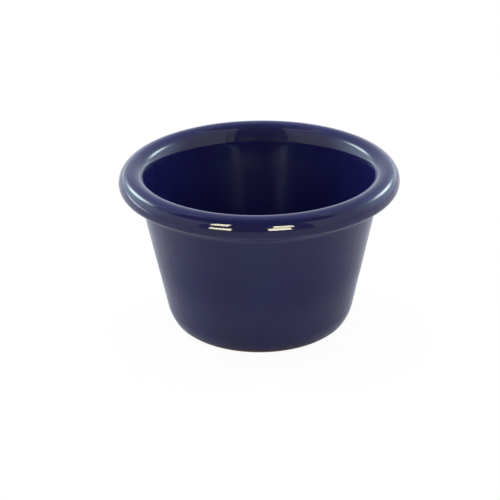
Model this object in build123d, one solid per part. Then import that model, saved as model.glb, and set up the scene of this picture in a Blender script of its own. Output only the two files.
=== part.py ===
from build123d import *
import math
import os

# A turned ramekin: tapered wall, rolled rim, rounded bottom corner and a bare foot ring.
# Millimetres. +Z is up and is the axis of turning. The origin is the centre of the ring that it stands on.
# Sizes of the outside and the inside are taken over the glaze.

# Overall sizes
rim_radius = 41.5
height = 48.9

# Rolled rim: its outer rounding, the tighter one below, how far it stands out over the wall, and the
# hollow rounding between the two
bead_radius = 4.0
under_radius = 2.4
rim_overhang = 5.7
neck_fillet_radius = 5.0

# Lip: how tight its rounding is, as a share of the one arc that would fill it from the crown to the inner
# wall, and how far that rounding drops, as a share of its own radius, before it flattens towards the wall
lip_round_share = 0.91
lip_drop_share = 0.5

# Wall: where its outer line would meet the table, how thick it is, and the rounding at its bottom
base_radius = 27.2
wall_thickness = 3.2
corner_radius = 14.0
corner_inset = 1.4

# Floor: its thickness over the hollow underneath, and the rounding up into the wall
floor_thickness = 3.0
inside_corner_radius = 9.5

# Foot ring
foot_height = 1.2
foot_width = 3.4
foot_edge_radius = 0.5
hollow_fillet_radius = 0.6

# Glaze: how thick it lies, how far up the foot is wiped bare, and the bare margin inside the foot ring
glaze_thickness = 0.3
bare_foot_height = 0.7
bare_margin = 0.8
glaze_edge_share = 0.5

# Worked out from the sizes above
neck_height = height - bead_radius - under_radius
neck_radius = rim_radius - rim_overhang
draft = math.degrees(math.atan2(neck_radius - base_radius, neck_height))
lean_sin = math.sin(math.radians(draft))
lean_cos = math.cos(math.radians(draft))
floor_height = foot_height + floor_thickness
under_centre = Vector(rim_radius - under_radius, 0, height - bead_radius)
bead_centre = Vector(rim_radius - bead_radius, 0, height - bead_radius)


def section_point(radius, z):
    """A point of the half section: its distance from the axis and its height above the table."""
    return Vector(radius, 0, z)


def wall_radius(z, inset):
    """The radius at a height of the line that lies inset inside the wall's outer line."""
    return base_radius + (z * lean_sin - inset) / lean_cos


def on_circle(centre, radius, angle):
    """The point of a circle of the half section, at an angle in degrees from the outward direction."""
    turn = math.radians(angle)
    return section_point(centre.X + radius * math.cos(turn), centre.Z + radius * math.sin(turn))


def arc(centre, radius, start, end):
    """An arc of the half section between two angles."""
    middle = (start + end) / 2
    return ThreePointArc(*[on_circle(centre, radius, angle) for angle in (start, middle, end)])


def bottom_corner_centre():
    """The centre of the outer corner's arc, which runs into the wall and meets the table short of its line."""
    # Along the wall from the table: up to the foot of the perpendicular from the arc's centre
    out = corner_inset * lean_cos
    along = math.sqrt(out * (2 * corner_radius - out)) - corner_inset * lean_sin
    z = along * lean_cos + corner_radius * lean_sin
    return section_point(wall_radius(z, corner_radius), z)


def neck_arc_centre():
    """The centre of the hollow arc that leaves the wall and runs straight into the rim's lower rounding."""
    # Up the line that is parallel to the wall, to where the two arcs just touch
    start = section_point(wall_radius(0, -neck_fillet_radius), 0)
    reach = under_centre - start
    abreast = reach.X * lean_sin + reach.Z * lean_cos
    aside = reach.X * lean_cos - reach.Z * lean_sin
    along = abreast - math.sqrt((neck_fillet_radius + under_radius) ** 2 - aside**2)
    return section_point(start.X + along * lean_sin, along * lean_cos)


def lip_radii():
    """The radius of the lip's tight rounding, and of the slower one that takes it down into the inner wall."""
    room = (bead_centre.X - wall_radius(height, wall_thickness)) * lean_cos
    round_radius = lip_round_share * room / (1 - lean_sin)
    left = math.radians(lip_slope - draft)
    return round_radius, (room - round_radius * (math.cos(left) - lean_sin)) / (1 - math.cos(left))


lip_slope = math.degrees(math.asin(1 - lip_drop_share))
lip_radius, shoulder_radius = lip_radii()
lip_centre = section_point(bead_centre.X, height - lip_radius)
shoulder_centre = on_circle(lip_centre, lip_radius - shoulder_radius, 180 - lip_slope)
corner_centre = bottom_corner_centre()
neck_centre = neck_arc_centre()
neck_to_under = under_centre - neck_centre
neck_end = math.degrees(math.atan2(neck_to_under.Z, neck_to_under.X))
inside_centre_height = floor_height + inside_corner_radius
inside_centre = section_point(
    wall_radius(inside_centre_height, wall_thickness + inside_corner_radius), inside_centre_height
)


def skin(depth, low):
    """The surface sunk by depth, from the height low on the outside, over the rim, to the floor's middle."""
    corner_arc_radius = corner_radius - depth
    low_angle = math.degrees(math.asin((low - corner_centre.Z) / corner_arc_radius))
    corner = arc(corner_centre, corner_arc_radius, low_angle, -draft)
    neck = arc(neck_centre, neck_fillet_radius + depth, 180 - draft, neck_end)
    under = arc(under_centre, under_radius - depth, neck_end - 180, 0)
    bead = arc(bead_centre, bead_radius - depth, 0, 90)
    lip = arc(lip_centre, lip_radius - depth, 90, 180 - lip_slope)
    shoulder = arc(shoulder_centre, shoulder_radius - depth, 180 - lip_slope, 180 - draft)
    inside_corner = arc(inside_centre, inside_corner_radius + depth, -draft, -90)
    return [
        corner,
        Line(corner @ 1, neck @ 0),
        neck,
        under,
        bead,
        lip,
        shoulder,
        Line(shoulder @ 1, inside_corner @ 0),
        inside_corner,
        Line(inside_corner @ 1, section_point(0, floor_height - depth)),
    ]


def turned(edges, rounded=lambda face: face):
    """A solid turned about the axis from the edges round its half section."""
    return revolve(rounded(make_face(edges)), Axis.Z)


def round_foot(face):
    """Eases the two edges of the foot ring and fills the corner of the hollow under the floor."""
    hollow_corner = face.vertices().group_by(Axis.Z)[1].sort_by(Axis.X)[-1]
    face = fillet(hollow_corner, hollow_fillet_radius)
    foot_corners = face.vertices().group_by(Axis.Z)[0]
    return fillet(foot_corners, foot_edge_radius)


def stoneware_body():
    """The fired clay under the glaze, with the foot ring that it stands on."""
    surface = skin(glaze_thickness, 0)
    foot_out = surface[0] @ 0
    foot_in = section_point(foot_out.X - foot_width, 0)
    hollow = section_point(foot_in.X, foot_height)
    axis_low = section_point(0, foot_height)
    underneath = Polyline(surface[-1] @ 1, axis_low, hollow, foot_in, foot_out)
    return turned(surface + underneath.edges(), round_foot)


def glaze_coat():
    """The glaze over the wall, the rim and the inside, down to the bare foot."""
    outer = skin(0, bare_foot_height)
    inner = skin(glaze_thickness, bare_foot_height)
    ends = [Line(outer[0] @ 0, inner[0] @ 0), Line(outer[-1] @ 1, inner[-1] @ 1)]
    return turned(outer + inner + ends)


def underside_glaze():
    """The patch of glaze in the hollow under the floor, cut off from the coat by the bare foot ring."""
    foot_out = skin(glaze_thickness, 0)[0] @ 0
    radius = foot_out.X - foot_width - hollow_fillet_radius - bare_margin
    lowest = foot_height - glaze_thickness
    patch = Polyline(
        section_point(0, foot_height),
        section_point(radius, foot_height),
        section_point(radius, lowest),
        section_point(0, lowest),
        close=True,
    )

    def rounded(face):
        edge = face.vertices().group_by(Axis.Z)[0].sort_by(Axis.X)[-1]
        return fillet(edge, glaze_edge_share * glaze_thickness)

    return turned(patch.edges(), rounded)


os.makedirs("parts", exist_ok=True)
for name, make in (
    ("stoneware_body", stoneware_body),
    ("glaze_coat", glaze_coat),
    ("underside_glaze", underside_glaze),
):
    export_step(make(), os.path.join("parts", name + ".step"))
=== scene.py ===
import math

import bpy
from mathutils import Matrix, Quaternion, Vector, noise


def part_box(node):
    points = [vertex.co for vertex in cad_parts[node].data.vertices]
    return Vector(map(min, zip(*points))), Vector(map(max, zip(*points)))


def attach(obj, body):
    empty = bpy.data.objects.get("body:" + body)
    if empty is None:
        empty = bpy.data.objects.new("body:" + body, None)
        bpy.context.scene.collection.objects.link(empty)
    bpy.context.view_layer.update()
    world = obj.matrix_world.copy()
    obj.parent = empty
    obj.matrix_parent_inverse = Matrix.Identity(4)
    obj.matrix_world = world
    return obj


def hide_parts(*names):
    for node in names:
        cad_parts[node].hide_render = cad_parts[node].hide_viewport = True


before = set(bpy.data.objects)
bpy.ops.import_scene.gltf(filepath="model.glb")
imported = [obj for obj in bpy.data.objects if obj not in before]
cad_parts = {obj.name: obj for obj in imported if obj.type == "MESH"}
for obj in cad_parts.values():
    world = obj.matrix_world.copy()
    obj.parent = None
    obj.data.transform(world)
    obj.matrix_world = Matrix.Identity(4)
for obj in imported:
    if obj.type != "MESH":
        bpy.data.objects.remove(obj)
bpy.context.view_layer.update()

# A glazed stoneware ramekin, turned about +Z. Lengths here are millimetres, and MM takes them to metres.
MM = 0.001

# The potter's sizes, over the glaze
RIM_RADIUS = 41.5
HEIGHT = 48.9
BEAD_RADIUS = 4.0
UNDER_RADIUS = 2.4
RIM_OVERHANG = 5.7
NECK_FILLET = 5.0
LIP_ROUND_SHARE = 0.91
LIP_DROP_SHARE = 0.5
BASE_RADIUS = 27.2
WALL = 3.2
CORNER_RADIUS = 14.0
CORNER_INSET = 1.4
FLOOR_HEIGHT = 4.2
INSIDE_CORNER = 9.5
GLAZE = 0.3
BARE_FOOT = 0.7

# How the glaze lies: it never stands out past these sizes, and sinks in by up to these amounts
RIPPLE_DEPTH = 0.035
RIPPLE_LENGTH = 9.0
WARP_DEPTH = 0.05
WARP_TURN = 0.7
FOOT_LINE_WANDER = 0.16
FOOT_LINE_LENGTH = 7.0
PATCH_WANDER = 0.5
PATCH_RIPPLE = 0.02

# The coat's edge at the foot, as shares of its thickness: how far over the foot line its face and its back
# begin, how deep its back lies, and how far the rolled edge between them hangs down
FACE_START_SHARE = 0.5
BACK_START_SHARE = 0.2
BACK_DEPTH_SHARE = 0.97
EDGE_ROLL_SHARE = 0.35

# The patch underneath stays full almost to its edge, then falls away. Here are the shares of its reach that
# its rings lie at, and the power of that share that it falls by.
PATCH_RINGS = (0.15, 0.3, 0.45, 0.6, 0.75, 0.87, 0.94, 0.975, 0.993)
PATCH_FALL = 8

# Each smooth random pattern has its own seed, and the patch's two are each read at one height
RIPPLE_SEED = 3.1
FOOT_LINE_SEED = 8.4
PATCH_EDGE_SEED = 1.7
PATCH_EDGE_LEVEL = 5.0
PATCH_RIPPLE_SEED = 5.5
PATCH_RIPPLE_LEVEL = 9.0

# How finely the shells are turned: facets round the axis, and steps along the hidden back against the face
SEGMENTS = 480
BACK_FINENESS = 0.4

NECK_HEIGHT = HEIGHT - BEAD_RADIUS - UNDER_RADIUS
DRAFT = math.atan2(RIM_RADIUS - RIM_OVERHANG - BASE_RADIUS, NECK_HEIGHT)
LEAN_SIN = math.sin(DRAFT)
LEAN_COS = math.cos(DRAFT)


def wall_radius(z, inset):
    """The radius at a height of the line that lies inset inside the wall's outer line."""
    return BASE_RADIUS + (z * LEAN_SIN - inset) / LEAN_COS


def corner_centre():
    """The centre of the rounding between the wall and the foot."""
    out = CORNER_INSET * LEAN_COS
    along = math.sqrt(out * (2 * CORNER_RADIUS - out)) - CORNER_INSET * LEAN_SIN
    z = along * LEAN_COS + CORNER_RADIUS * LEAN_SIN
    return wall_radius(z, CORNER_RADIUS), z


def neck_centre():
    """The centre of the hollow arc that leaves the wall and runs straight into the rim's lower rounding."""
    start = wall_radius(0, -NECK_FILLET)
    abreast = (UNDER[0] - start) * LEAN_SIN + UNDER[1] * LEAN_COS
    aside = (UNDER[0] - start) * LEAN_COS - UNDER[1] * LEAN_SIN
    along = abreast - math.sqrt((NECK_FILLET + UNDER_RADIUS) ** 2 - aside ** 2)
    return start + along * LEAN_SIN, along * LEAN_COS


def lip_radii():
    """The radius of the lip's tight rounding, and of the slower one from there down into the inner wall."""
    room = (BEAD[0] - wall_radius(HEIGHT, WALL)) * LEAN_COS
    tight = LIP_ROUND_SHARE * room / (1 - LEAN_SIN)
    left = LIP_SLOPE - DRAFT
    return tight, (room - tight * (math.cos(left) - LEAN_SIN)) / (1 - math.cos(left))


UNDER = (RIM_RADIUS - UNDER_RADIUS, HEIGHT - BEAD_RADIUS)
BEAD = (RIM_RADIUS - BEAD_RADIUS, HEIGHT - BEAD_RADIUS)
NECK = neck_centre()
NECK_END = math.atan2(UNDER[1] - NECK[1], UNDER[0] - NECK[0])
LIP_SLOPE = math.asin(1 - LIP_DROP_SHARE)
LIP_RADIUS, SHOULDER_RADIUS = lip_radii()
LIP = (BEAD[0], HEIGHT - LIP_RADIUS)
SHOULDER = (
    LIP[0] + (SHOULDER_RADIUS - LIP_RADIUS) * math.cos(LIP_SLOPE),
    LIP[1] - (SHOULDER_RADIUS - LIP_RADIUS) * math.sin(LIP_SLOPE),
)
CORNER = corner_centre()
INSIDE_Z = FLOOR_HEIGHT + INSIDE_CORNER
INSIDE = (wall_radius(INSIDE_Z, WALL + INSIDE_CORNER), INSIDE_Z)
PATCH_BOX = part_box("underside_glaze")


def arc(centre, radius, start, end, steps):
    """Points of the half section on an arc, with the way each faces. A negative radius is a hollow arc."""
    hollow = math.pi if radius < 0 else 0.0
    points = []
    for i in range(steps + 1):
        turn = start + (end - start) * i / steps
        facing = turn + hollow
        r = centre[0] + abs(radius) * math.cos(turn)
        z = centre[1] + abs(radius) * math.sin(turn)
        points.append((r, z, facing))
    return points


def straight(a, b, steps):
    """Points between two points of the half section, leaving both out."""
    found = []
    for i in range(1, steps):
        share = i / steps
        found.append((a[0] + (b[0] - a[0]) * share, a[1] + (b[1] - a[1]) * share, a[2]))
    return found


def skin(depth, low, fineness):
    """The glazed surface, sunk by depth, from low on the outside, over the rim, to the floor's middle."""
    half = math.pi / 2

    def steps(count):
        return max(2, round(count * fineness))

    low_angle = math.asin((low - CORNER[1]) / (CORNER_RADIUS - depth))
    corner = arc(CORNER, CORNER_RADIUS - depth, low_angle, -DRAFT, steps(22))
    neck = arc(NECK, -(NECK_FILLET + depth), math.pi - DRAFT, NECK_END, steps(18))
    under = arc(UNDER, UNDER_RADIUS - depth, NECK_END - math.pi, 0, steps(14))
    bead = arc(BEAD, BEAD_RADIUS - depth, 0, half, steps(26))
    lip = arc(LIP, LIP_RADIUS - depth, half, math.pi - LIP_SLOPE, steps(22))
    shoulder = arc(SHOULDER, SHOULDER_RADIUS - depth, math.pi - LIP_SLOPE, math.pi - DRAFT, steps(12))
    inside = arc(INSIDE, -(INSIDE_CORNER + depth), -DRAFT, -half, steps(24))
    middle = (0.0, FLOOR_HEIGHT - depth, half)
    return (
        corner + straight(corner[-1], neck[0], steps(30)) + neck + under[1:] + bead[1:] + lip[1:]
        + shoulder[1:] + straight(shoulder[-1], inside[0], steps(30)) + inside
        + straight(inside[-1], middle, steps(14)) + [middle]
    )


def wave(x, y, z, length, seed):
    """A smooth random value from 0 to 1 that changes over the given length."""
    place = Vector((x, y, z)) / length + Vector((seed, 0.0, 0.0))
    return 0.5 + 0.5 * max(-1.0, min(1.0, noise.noise(place)))


def around(index, radius):
    """A place on a circle about the axis."""
    turn = 2 * math.pi * index / SEGMENTS
    return radius * math.cos(turn), radius * math.sin(turn)


def sink(r, z, facing, index):
    """A place on the glaze's face, sunk by the slight warp of the kiln and by the glaze's own ripple."""
    x, y = around(index, r)
    turn = 2 * math.pi * index / SEGMENTS
    # The warp moves the wall sideways, so both its faces move the same way, and dies out towards the middle
    oval = 0.5 + 0.5 * math.cos(2 * turn + WARP_TURN)
    warp = WARP_DEPTH * oval * z / HEIGHT * min(1.0, r / BASE_RADIUS)
    ripple = RIPPLE_DEPTH * wave(x, y, z, RIPPLE_LENGTH, RIPPLE_SEED)
    return r - warp - ripple * math.cos(facing), z - ripple * math.sin(facing)


def turned_shell(name, section):
    """A closed mesh turned from a half section, a function of the place round the axis, pole to pole."""
    first = section(0)
    rings = len(first) - 2
    poles = [(0.0, 0.0, first[0][1] * MM), (0.0, 0.0, first[-1][1] * MM)]
    points = []
    for index in range(SEGMENTS):
        for r, z in section(index)[1:-1]:
            x, y = around(index, r)
            points.append((x * MM, y * MM, z * MM))
    start_pole = len(points)
    end_pole = start_pole + 1
    points += poles
    faces = []
    for index in range(SEGMENTS):
        here = index * rings
        there = (index + 1) % SEGMENTS * rings
        faces.append((start_pole, there, here))
        for ring in range(rings - 1):
            faces.append((here + ring, there + ring, there + ring + 1, here + ring + 1))
        faces.append((here + rings - 1, there + rings - 1, end_pole))
    mesh = bpy.data.meshes.new(name)
    mesh.from_pydata(points, [], faces)
    mesh.polygons.foreach_set("use_smooth", [True] * len(faces))
    mesh.update()
    piece = bpy.data.objects.new(name, mesh)
    bpy.context.scene.collection.objects.link(piece)
    return piece


def foot_line(index):
    """The height at which the wiped glaze ends, wandering a little round the foot."""
    x, y = around(index, BASE_RADIUS)
    return BARE_FOOT + FOOT_LINE_WANDER * wave(x, y, 0.0, FOOT_LINE_LENGTH, FOOT_LINE_SEED)


def coat_section(index):
    """The glaze coat's half section: its face, the rolled edge over the foot, and its back on the clay."""
    low = foot_line(index)
    face = [sink(r, z, facing, index) for r, z, facing in skin(0.0, low + GLAZE * FACE_START_SHARE, 1.0)]
    hidden = skin(GLAZE * BACK_DEPTH_SHARE, low + GLAZE * BACK_START_SHARE, BACK_FINENESS)
    back = [(r, z) for r, z, facing in hidden]
    out_r, out_z = face[0]
    in_r, in_z = back[0]
    roll = []
    for share in (0.25, 0.5, 0.75):
        drop = GLAZE * EDGE_ROLL_SHARE * math.sin(math.pi * share)
        roll.append((out_r + (in_r - out_r) * share, out_z + (in_z - out_z) * share - drop))
    return face[::-1] + roll + back


def patch_section(index):
    """The glaze patch in the hollow under the floor, pooled thinner towards its uneven edge."""
    x, y = around(index, BASE_RADIUS)
    low, high = (corner[2] / MM for corner in PATCH_BOX)
    wander = PATCH_WANDER * wave(x, y, PATCH_EDGE_LEVEL, FOOT_LINE_LENGTH, PATCH_EDGE_SEED)
    reach = PATCH_BOX[1][0] / MM - wander
    under = [(0.0, low)]
    for share in PATCH_RINGS:
        fall = share ** PATCH_FALL
        thin = (high - low) * (1 - math.sqrt(1 - fall))
        pooled = wave(x * share, y * share, PATCH_RIPPLE_LEVEL, RIPPLE_LENGTH, PATCH_RIPPLE_SEED)
        under.append((reach * share, low + thin + PATCH_RIPPLE * (1 - fall) * pooled))
    top = [(reach, high), (reach * 0.5, high), (0.0, high)]
    return under + top


def hex_colour(code):
    """An sRGB hex colour as the linear values that the shader takes."""
    found = []
    for at in (0, 2, 4):
        value = int(code[at:at + 2], 16) / 255
        found.append(value / 12.92 if value <= 0.04045 else ((value + 0.055) / 1.055) ** 2.4)
    return (*found, 1.0)


def grey(level):
    """An even grey of a linear level."""
    return level, level, level, 1.0


def add(tree, kind, settings=None, links=None):
    """Adds one node, sets its own settings and its inputs, and links its inputs to other nodes' outputs."""
    made = tree.nodes.new(kind)
    for key, value in (settings or {}).items():
        if isinstance(key, str) and hasattr(made, key):
            setattr(made, key, value)
        else:
            made.inputs[key].default_value = value
    for key, source in (links or {}).items():
        tree.links.new(source, made.inputs[key])
    return made


def new_material(name):
    """An empty node material and its tree."""
    material = bpy.data.materials.new(name)
    material.use_nodes = True
    material.node_tree.nodes.clear()
    return material, material.node_tree


def per_mm(length):
    """The noise scale, in waves per metre, of a pattern whose parts are this many millimetres across."""
    return 1.0 / (length * MM)


def ramp(tree, source, stops):
    """A colour ramp over a value, with its stops given as place and linear colour."""
    made = add(tree, "ShaderNodeValToRGB", links={"Fac": source})
    band = made.color_ramp
    while len(band.elements) < len(stops):
        band.elements.new(0.5)
    for element, (place, colour) in zip(band.elements, stops):
        element.position = place
        element.color = colour
    return made


# Between the first two heights the glaze goes from the clay's colour, at its wiped edge, to its own. Between
# the second two the dulled wall goes over to the glossier rim, and WALL_WEAR is how much rougher that wall is.
BROKEN_EDGE = (0.8, 1.6)
WEAR_END = (38.0, 43.0)
WALL_WEAR = 0.1


def cobalt_glaze(name, deep, light, broken, roughness):
    """Glossy cobalt glaze, dipped and fired: glassy dark blue in slow clouds, mirroring the room."""
    material, tree = new_material(name)
    place = add(tree, "ShaderNodeTexCoord").outputs["Object"]
    # Cobalt drifts in the melt as clouds about 14 mm across
    drift = {"Scale": per_mm(14.0), "Detail": 3.0, "Roughness": 0.55}
    clouds = add(tree, "ShaderNodeTexNoise", drift, {"Vector": place}).outputs["Fac"]
    tone = ramp(tree, clouds, [(0.32, hex_colour(deep)), (0.7, hex_colour(light))]).outputs["Color"]
    # Pinholes and specks about 0.4 mm across, a few on each side
    pores = add(tree, "ShaderNodeTexVoronoi", {"Scale": per_mm(7.0)}, {"Vector": place}).outputs["Distance"]
    pore_edge = {"From Min": 0.022, "From Max": 0.045, "To Min": 0.55, "To Max": 0.0}
    speck = add(tree, "ShaderNodeMapRange", pore_edge, {"Value": pores}).outputs["Result"]
    speckled = {"data_type": "RGBA", "B": hex_colour("3A3C6A")}
    body = add(tree, "ShaderNodeMix", speckled, {"Factor": speck, "A": tone}).outputs["Result"]
    # Orange peel: soft waves 1.5 mm across and a few microns deep, which bend what the glaze mirrors
    waves = {"Scale": per_mm(1.5), "Detail": 1.0}
    peel = add(tree, "ShaderNodeTexNoise", waves, {"Vector": place}).outputs["Fac"]
    bump = add(tree, "ShaderNodeBump", {"Distance": 0.006 * MM}, {"Height": peel}).outputs["Normal"]
    # Where the foot was wiped, the glaze ends thin and breaks to the clay's colour
    height = add(tree, "ShaderNodeSeparateXYZ", links={"Vector": place}).outputs["Z"]
    foot_edge = {"From Min": BROKEN_EDGE[0] * MM, "From Max": BROKEN_EDGE[1] * MM}
    foot_edge.update({"To Min": 0.95, "To Max": 0.0})
    thin = add(tree, "ShaderNodeMapRange", foot_edge, {"Value": height}).outputs["Result"]
    breaking = {"data_type": "RGBA", "B": hex_colour(broken)}
    body = add(tree, "ShaderNodeMix", breaking, {"Factor": thin, "A": body}).outputs["Result"]
    # Spoons and washing dull the walls a little, but not the rim
    worn = {"From Min": WEAR_END[0] * MM, "From Max": WEAR_END[1] * MM}
    worn.update({"To Min": roughness + WALL_WEAR, "To Max": roughness})
    dulled = add(tree, "ShaderNodeMapRange", worn, {"Value": height}).outputs["Result"]
    links = {"Base Color": body, "Normal": bump, "Roughness": dulled}
    gloss = add(tree, "ShaderNodeBsdfPrincipled", {"IOR": 1.5}, links).outputs["BSDF"]
    add(tree, "ShaderNodeOutputMaterial", links={"Surface": gloss})
    return material


def bare_stoneware():
    """Buff stoneware, jiggered and fired bare: dry, fine-grained, warm clay with iron specks in it."""
    material, tree = new_material("bare_buff_stoneware")
    place = add(tree, "ShaderNodeTexCoord").outputs["Object"]
    mottle = {"Scale": per_mm(5.0), "Detail": 5.0, "Roughness": 0.6}
    tone = add(tree, "ShaderNodeTexNoise", mottle, {"Vector": place}).outputs["Fac"]
    clay = ramp(tree, tone, [(0.3, hex_colour("94765A")), (0.7, hex_colour("BE9A78"))]).outputs["Color"]
    # Iron specks about 0.5 mm across, drawn two or three times as coarse as real ones so that they show
    iron = add(tree, "ShaderNodeTexVoronoi", {"Scale": per_mm(1.6)}, {"Vector": place}).outputs["Distance"]
    edge = {"From Min": 0.1, "From Max": 0.2, "To Min": 0.7, "To Max": 0.0}
    speck = add(tree, "ShaderNodeMapRange", edge, {"Value": iron}).outputs["Result"]
    speckled = {"data_type": "RGBA", "B": hex_colour("4E3B2C")}
    colour = add(tree, "ShaderNodeMix", speckled, {"Factor": speck, "A": clay}).outputs["Result"]
    # Grog grains 0.3 mm across
    grog = {"Scale": per_mm(0.3), "Detail": 3.0}
    grain = add(tree, "ShaderNodeTexNoise", grog, {"Vector": place}).outputs["Fac"]
    rough = {"Strength": 0.6, "Distance": 0.05 * MM}
    bump = add(tree, "ShaderNodeBump", rough, {"Height": grain}).outputs["Normal"]
    dull = {"Roughness": 0.85, "IOR": 1.5}
    links = {"Base Color": colour, "Normal": bump}
    dry = add(tree, "ShaderNodeBsdfPrincipled", dull, links).outputs["BSDF"]
    add(tree, "ShaderNodeOutputMaterial", links={"Surface": dry})
    return material


blue = cobalt_glaze("cobalt_glaze_dipped_stoneware", "23225D", "282768", "543426", 0.05)
blue_thin = cobalt_glaze("cobalt_glaze_underside_pool", "22214E", "34346C", "34346C", 0.12)

coat = turned_shell("cobalt_glaze_coat", coat_section)
coat.data.materials.append(blue)
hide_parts("glaze_coat")
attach(coat, "root")

patch = turned_shell("underside_glaze_patch", patch_section)
patch.data.materials.append(blue_thin)
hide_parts("underside_glaze")
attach(patch, "root")

clay_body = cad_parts["stoneware_body"]
clay_body.data.materials.clear()
clay_body.data.materials.append(bare_stoneware())


# The studio is what the glaze mirrors, and lights it. The camera sees only the white table and room.
# Directions are seen from the middle of the rim: azimuth 0 is the camera's side and 90 is +X.
RIM_MIDDLE = Vector((0.0, 0.0, HEIGHT))


def from_rim(azimuth, elevation, distance):
    """The place, in millimetres, a distance away from the middle of the rim, with the angles in degrees."""
    a = math.radians(azimuth)
    e = math.radians(elevation)
    way = Vector((math.sin(a) * math.cos(e), -math.cos(a) * math.cos(e), math.sin(e)))
    return RIM_MIDDLE + way * distance


def glowing(name, corners, faces, tint, strength, fade=None, once=False):
    """A glowing mesh: even all over, or fading to a clear oval edge. With once, a second mirror misses it."""
    mesh = bpy.data.meshes.new(name)
    mesh.from_pydata(corners, [], faces)
    piece = bpy.data.objects.new(name, mesh)
    bpy.context.scene.collection.objects.link(piece)
    material, tree = new_material(name)
    glow = add(tree, "ShaderNodeEmission", {"Color": hex_colour(tint), "Strength": strength})
    surface = glow.outputs["Emission"]
    if fade:
        place = add(tree, "ShaderNodeTexCoord").outputs["Object"]
        out = add(tree, "ShaderNodeVectorMath", {"operation": "LENGTH"}, {0: place}).outputs["Value"]
        share = ramp(tree, out, [(at, grey(level)) for at, level in fade]).outputs["Color"]
        power = add(tree, "ShaderNodeMath", {"operation": "MULTIPLY", 1: strength}, {0: share})
        tree.links.new(power.outputs["Value"], glow.inputs["Strength"])
        clear = add(tree, "ShaderNodeBsdfTransparent").outputs["BSDF"]
        surface = add(tree, "ShaderNodeAddShader", links={0: surface, 1: clear}).outputs["Shader"]
    if once:
        bounces = add(tree, "ShaderNodeLightPath").outputs["Glossy Depth"]
        only_one = {"operation": "LESS_THAN", 1: 1.5}
        first = add(tree, "ShaderNodeMath", only_one, {0: bounces}).outputs["Value"]
        power = add(tree, "ShaderNodeMath", {"operation": "MULTIPLY", 1: strength}, {0: first})
        tree.links.new(power.outputs["Value"], glow.inputs["Strength"])
    add(tree, "ShaderNodeOutputMaterial", links={"Surface": surface})
    mesh.materials.append(material)
    piece.visible_camera = False
    return piece


def card(name, centre, facing, width, height, tint, strength, fade=None, tilt=0.0, once=False):
    """A flat card that faces a way, turned by a tilt in degrees in its own plane."""
    corners = [(-1, -1, 0), (1, -1, 0), (1, 1, 0), (-1, 1, 0)]
    piece = glowing(name, corners, [(0, 1, 2, 3)], tint, strength, fade, once)
    turn = facing.to_track_quat("Z", "Y") @ Quaternion((0.0, 0.0, 1.0), math.radians(tilt))
    piece.location = centre * MM
    piece.rotation_euler = turn.to_euler()
    piece.scale = (width * MM / 2, height * MM / 2, 1.0)
    return piece


def curved_flag(name, start, end, strength):
    """An upright white card bent round the rim, from one azimuth to another."""
    corners = []
    for step in range(FLAG_STEPS + 1):
        turn = math.radians(start + (end - start) * step / FLAG_STEPS)
        for z in (FLAG_LOW, FLAG_HIGH):
            corners.append((FLAG_RADIUS * math.sin(turn) * MM, -FLAG_RADIUS * math.cos(turn) * MM, z * MM))
    faces = [(2 * step, 2 * step + 2, 2 * step + 3, 2 * step + 1) for step in range(FLAG_STEPS)]
    return glowing(name, corners, faces, "FFFFFF", strength)


def soft_box(name, azimuth, elevation, wide, high, tint, strength, fade, tilt=0.0):
    """A soft box that faces the rim, with its width and height given as half angles in degrees."""
    centre = from_rim(azimuth, elevation, BOX_DISTANCE)
    width = 2 * BOX_DISTANCE * math.tan(math.radians(wide))
    height = 2 * BOX_DISTANCE * math.tan(math.radians(high))
    return card(name, centre, RIM_MIDDLE - centre, width, height, tint, strength, fade, tilt)


def pane(name, left, right, low, high, y, tint, strength):
    """A window pane: an upright card across the front, facing the ramekin, that is mirrored only once."""
    centre = Vector(((left + right) / 2, y, (low + high) / 2))
    towards = Vector((0.0, 1.0, 0.0))
    return card(name, centre, towards, right - left, high - low, tint, strength, once=True)


# Two soft boxes stand behind at the sides, each with a halo of lit cloth round it. After its name, each has
# its azimuth, elevation, half width and half height, then its tint, its strength, its fade and its tilt.
BOX_DISTANCE = 700.0
BOX_FADE = [(0.0, 1.0), (0.3, 1.0), (0.42, 0.6), (0.55, 0.2), (0.75, 0.06), (1.0, 0.0)]
HALO_FADE = [(0.0, 1.0), (0.3, 0.8), (0.6, 0.35), (1.0, 0.0)]
EDGE_FADE = [(0.0, 1.0), (0.7, 0.8), (1.0, 0.0)]
soft_box("left_soft_box", -127, 28, 29, 10.4, "E8FAFC", 9.5, BOX_FADE, -34)
soft_box("right_soft_box", 128, 24.8, 25, 10.4, "E8FAFC", 9.5, BOX_FADE, 31)
soft_box("left_soft_box_halo", -115, 20, 36, 30, "C4E8EC", 1.7, HALO_FADE)
soft_box("right_soft_box_halo", 119, 23, 36, 28, "B8E0F0", 1.4, HALO_FADE)
# The lit edge of a low shelf at the left, and the pale ends of the table behind
soft_box("left_shelf_edge", -104, -2.5, 26, 3.6, "F4F4FF", 6.0, EDGE_FADE, 14)
soft_box("left_table_end", -148, 5, 14, 7, "D0F0F8", 1.1, HALO_FADE)
soft_box("right_table_end", 147, 5, 14, 7, "D0F0F8", 1.1, HALO_FADE)

# A soft light from overhead, which only the matte part of the glaze takes up
OVERHEAD = Vector((0.0, 0.0, 900.0))
OVERHEAD_SIZE = 700.0
OVERHEAD_STRENGTH = 1.5
down = Vector((0.0, 0.0, -1.0))
overhead = card("overhead_light", OVERHEAD, down, OVERHEAD_SIZE, OVERHEAD_SIZE, "FFFFFF", OVERHEAD_STRENGTH)
overhead.visible_glossy = False

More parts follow.
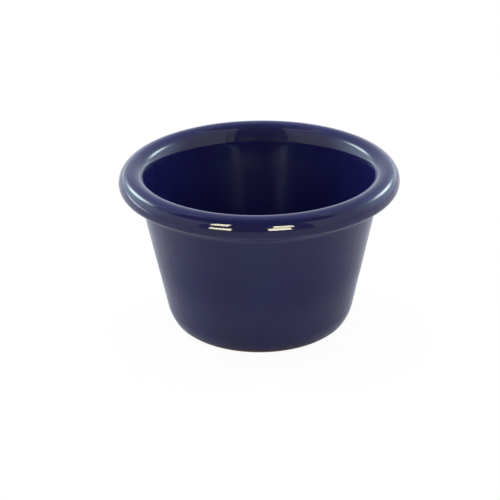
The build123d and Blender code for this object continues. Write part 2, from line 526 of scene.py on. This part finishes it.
# The front is a dim opening, where the camera stands, widest beside the windows and over the ceiling
DIM_FRONT_Y = -125.0
DIM_FRONT_STRENGTH = 0.2
OPENING = [
    (-98, 50), (75, 50), (75, 55), (97, 55), (97, 190), (75, 190), (75, 300),
    (115, 640), (-135, 640), (-98, 300), (-98, 150), (-117, 150), (-117, 58), (-98, 58),
]
opening = [(x * MM, DIM_FRONT_Y * MM, z * MM) for x, z in OPENING]
glowing("dim_front_opening", opening, [tuple(range(len(opening)))], "FFFFFF", DIM_FRONT_STRENGTH)

# Two warm windows beside the camera, each of two panes, show only in the near side of the rim. A dim flag
# bent round it, between two paler ones, hides them from the far side. All of these light nothing.
WINDOW_Y = -101.0
WINDOW_TINT = "FFF8D4"
WINDOW_STRENGTH = 21.0
FLAG_RADIUS = 43.0
FLAG_LOW = 51.0
FLAG_HIGH = 112.0
FLAG_STEPS = 32
DIM_FLAG = 0.15
PALE_FLAG = 0.62
windows = [
    pane("left_window_upper", -73, -42, 106, 148, WINDOW_Y, WINDOW_TINT, WINDOW_STRENGTH),
    pane("left_window_lower", -65, -32, 58, 76, WINDOW_Y, WINDOW_TINT, WINDOW_STRENGTH),
    pane("right_window_upper", 17, 44, 88, 113, WINDOW_Y, WINDOW_TINT, WINDOW_STRENGTH),
    pane("right_window_lower", 10, 37, 61, 82, WINDOW_Y, WINDOW_TINT, WINDOW_STRENGTH),
    curved_flag("dim_flag", -42, 35, DIM_FLAG),
    curved_flag("left_pale_flag", -54, -42, PALE_FLAG),
    curved_flag("right_pale_flag", 35, 46, PALE_FLAG),
]
for piece in windows:
    piece.visible_diffuse = False
    piece.visible_shadow = False

# The table, in metres
white = hex_colour("FFFFFF")
FLOOR_REACH = 4.0
floor_mesh = bpy.data.meshes.new("floor")
floor_mesh.from_pydata(
    [(-FLOOR_REACH, -FLOOR_REACH, 0), (FLOOR_REACH, -FLOOR_REACH, 0), (FLOOR_REACH, FLOOR_REACH, 0),
     (-FLOOR_REACH, FLOOR_REACH, 0)],
    [], [(0, 1, 2, 3)],
)
floor = bpy.data.objects.new("floor", floor_mesh)
bpy.context.scene.collection.objects.link(floor)
table, tree = new_material("white_table")
paper = add(tree, "ShaderNodeBsdfDiffuse", {"Color": hex_colour("E8E8E8")}).outputs["BSDF"]
# Painted shade: where the glaze mirrors the table, it is this dimmer grey instead of the paper's own white
painted_shade_paper = add(tree, "ShaderNodeBsdfDiffuse", {"Color": hex_colour("C6C5C4")}).outputs["BSDF"]
# Mirrored in the glaze, the table carries painted shade and painted light: a dimmer grey paints shade on it,
# and a painted glow is palest far out, where the soft boxes' light reaches it, and pale by the foot, where the
# glaze throws light back on it. Its glow is given at shares of the ramp's reach. The painted glow falls off
# towards the camera, as painted shade, and is lifted behind, as painted light, by the distance along Y.
TABLE_RAMP_REACH = 0.2
PAINTED_TABLE_GLOW = [
    (0.15, 0.34), (0.2, 0.36), (0.25, 0.18), (0.31, 0.28), (0.36, 0.33), (0.45, 0.28), (0.75, 0.5),
]
PAINTED_FRONT_SHADE = {"From Min": -0.12, "From Max": 0.04, "To Min": 0.7, "To Max": 1.0}
PAINTED_BACK_LIGHT = {"From Min": -0.06, "From Max": 0.1, "To Min": 0.0, "To Max": 0.12}
place = add(tree, "ShaderNodeTexCoord").outputs["Object"]
depth = add(tree, "ShaderNodeSeparateXYZ", links={"Vector": place}).outputs["Y"]
away = add(tree, "ShaderNodeVectorMath", {"operation": "LENGTH"}, {0: place}).outputs["Value"]
share = add(tree, "ShaderNodeMapRange", {"From Max": TABLE_RAMP_REACH}, {"Value": away}).outputs["Result"]
ring = ramp(tree, share, [(at, grey(level)) for at, level in PAINTED_TABLE_GLOW]).outputs["Color"]
behind = add(tree, "ShaderNodeMapRange", PAINTED_FRONT_SHADE, {"Value": depth}).outputs["Result"]
rings = add(tree, "ShaderNodeMath", {"operation": "MULTIPLY"}, {0: ring, 1: behind}).outputs["Value"]
lift = add(tree, "ShaderNodeMapRange", PAINTED_BACK_LIGHT, {"Value": depth}).outputs["Result"]
both = add(tree, "ShaderNodeMath", {"operation": "ADD"}, {0: lift, 1: rings}).outputs["Value"]
pale = {"Color": hex_colour("F2F1FF")}
# Painted light: an emitted glow on the table that only the glaze's mirror rays see
painted_glow = add(tree, "ShaderNodeEmission", pale, {"Strength": both}).outputs["Emission"]
seen = add(tree, "ShaderNodeLightPath")
mirror = seen.outputs["Is Glossy Ray"]
paler = add(tree, "ShaderNodeAddShader", links={0: painted_shade_paper, 1: painted_glow}).outputs["Shader"]
lit = add(tree, "ShaderNodeMixShader", links={0: mirror, 1: paper, 2: paler}).outputs["Shader"]
# To the camera it is a white sweep that keeps a faint shadow
faint = add(tree, "ShaderNodeBsdfDiffuse", {"Color": hex_colour("545454")}).outputs["BSDF"]
sweep = add(tree, "ShaderNodeEmission", {"Color": white, "Strength": 0.95}).outputs["Emission"]
shown = add(tree, "ShaderNodeAddShader", links={0: faint, 1: sweep}).outputs["Shader"]
camera_ray = seen.outputs["Is Camera Ray"]
top = add(tree, "ShaderNodeMixShader", links={0: camera_ray, 1: lit, 2: shown}).outputs["Shader"]
# From under it the table is clear, so that the foot can be looked at
clear = add(tree, "ShaderNodeBsdfTransparent").outputs["BSDF"]
under = add(tree, "ShaderNodeNewGeometry").outputs["Backfacing"]
whole = add(tree, "ShaderNodeMixShader", links={0: under, 1: top, 2: clear}).outputs["Shader"]
add(tree, "ShaderNodeOutputMaterial", links={"Surface": whole})
floor_mesh.materials.append(table)

# The room is white to the camera, and lights what is matte at the level ROOM_LIGHT. The glaze mirrors pale
# walls with a dim ceiling over them: grey in front, with a pale line under the ceiling, and bluish behind.
# Each stop gives the sine of an elevation, and the level or colour there as a share of ROOM_TOP.
ROOM_LIGHT = 0.33
ROOM_TOP = 1.5
FRONT_WALL = [
    (0.0, 0.52), (0.7, 0.54), (0.79, 0.5), (0.865, 0.48), (0.875, 1.0), (0.895, 1.0),
    (0.905, 0.26), (0.97, 0.2), (1.0, 0.12),
]
BACK_WALL = [
    (0.0, (0.86, 0.92, 1.0)), (0.12, (0.82, 0.88, 0.98)), (0.24, (0.62, 0.67, 0.78)),
    (0.34, (0.57, 0.62, 0.72)), (0.45, (0.48, 0.52, 0.62)), (0.64, (0.41, 0.44, 0.6)),
    (0.88, (0.34, 0.38, 0.64)), (0.95, (0.22, 0.26, 0.44)), (1.0, (0.12, 0.14, 0.18)),
]
world = bpy.data.worlds.new("pale_room")
bpy.context.scene.world = world
world.use_nodes = True
tree = world.node_tree
tree.nodes.clear()
way = add(tree, "ShaderNodeTexCoord").outputs["Generated"]
axes = add(tree, "ShaderNodeSeparateXYZ", links={"Vector": way})
front = ramp(tree, axes.outputs["Z"], [(at, grey(level)) for at, level in FRONT_WALL]).outputs["Color"]
rear = ramp(tree, axes.outputs["Z"], [(at, (*colour, 1.0)) for at, colour in BACK_WALL]).outputs["Color"]
turn_back = {"From Min": -0.1, "From Max": 0.5}
behind = add(tree, "ShaderNodeMapRange", turn_back, {"Value": axes.outputs["Y"]}).outputs["Result"]
sides = {"Factor": behind, "A": front, "B": rear}
mirrored = add(tree, "ShaderNodeMix", {"data_type": "RGBA"}, sides).outputs["Result"]
shown = add(tree, "ShaderNodeBackground", {"Strength": ROOM_TOP}, {"Color": mirrored}).outputs["Background"]
glow = add(tree, "ShaderNodeBackground", {"Color": white, "Strength": ROOM_LIGHT}).outputs["Background"]
sky = add(tree, "ShaderNodeBackground", {"Color": white, "Strength": 1.0}).outputs["Background"]
seen = add(tree, "ShaderNodeLightPath")
mirror = seen.outputs["Is Glossy Ray"]
camera_ray = seen.outputs["Is Camera Ray"]
inside = add(tree, "ShaderNodeMixShader", links={0: mirror, 1: glow, 2: shown}).outputs["Shader"]
room = add(tree, "ShaderNodeMixShader", links={0: camera_ray, 1: inside, 2: sky}).outputs["Shader"]
add(tree, "ShaderNodeOutputWorld", links={"Surface": room})

# The camera: its distance, height and lens follow the photograph's outline
LENS = 105.09
SENSOR = 36.0
IMAGE = 500
CAMERA_DISTANCE = 440.0
CAMERA_ELEVATION = math.radians(24.737)
CAMERA_ROLL = math.radians(0.589)
AIM_PIXEL = (259.75, 240.35)
camera_data = bpy.data.cameras.new("camera")
camera_data.lens = LENS
camera_data.sensor_width = SENSOR
camera = bpy.data.objects.new("camera", camera_data)
bpy.context.scene.collection.objects.link(camera)
bpy.context.scene.camera = camera
target = Vector((0.0, 0.0, HEIGHT / 2)) * MM
back = Vector((0.0, -math.cos(CAMERA_ELEVATION), math.sin(CAMERA_ELEVATION)))
look = (-back).to_track_quat("-Z", "Y")
roll = Matrix.Rotation(-CAMERA_ROLL, 3, "Z").to_quaternion()
pixels = LENS / SENSOR * IMAGE
aim = Vector(((AIM_PIXEL[0] - IMAGE / 2) / pixels, (IMAGE / 2 - AIM_PIXEL[1]) / pixels, -1.0))
turn = aim.rotation_difference(Vector((0.0, 0.0, -1.0)))
camera.rotation_mode = "QUATERNION"
camera.location = target + back * (CAMERA_DISTANCE * MM)
camera.rotation_quaternion = look @ roll @ turn

bpy.context.scene.view_settings.view_transform = "Standard"
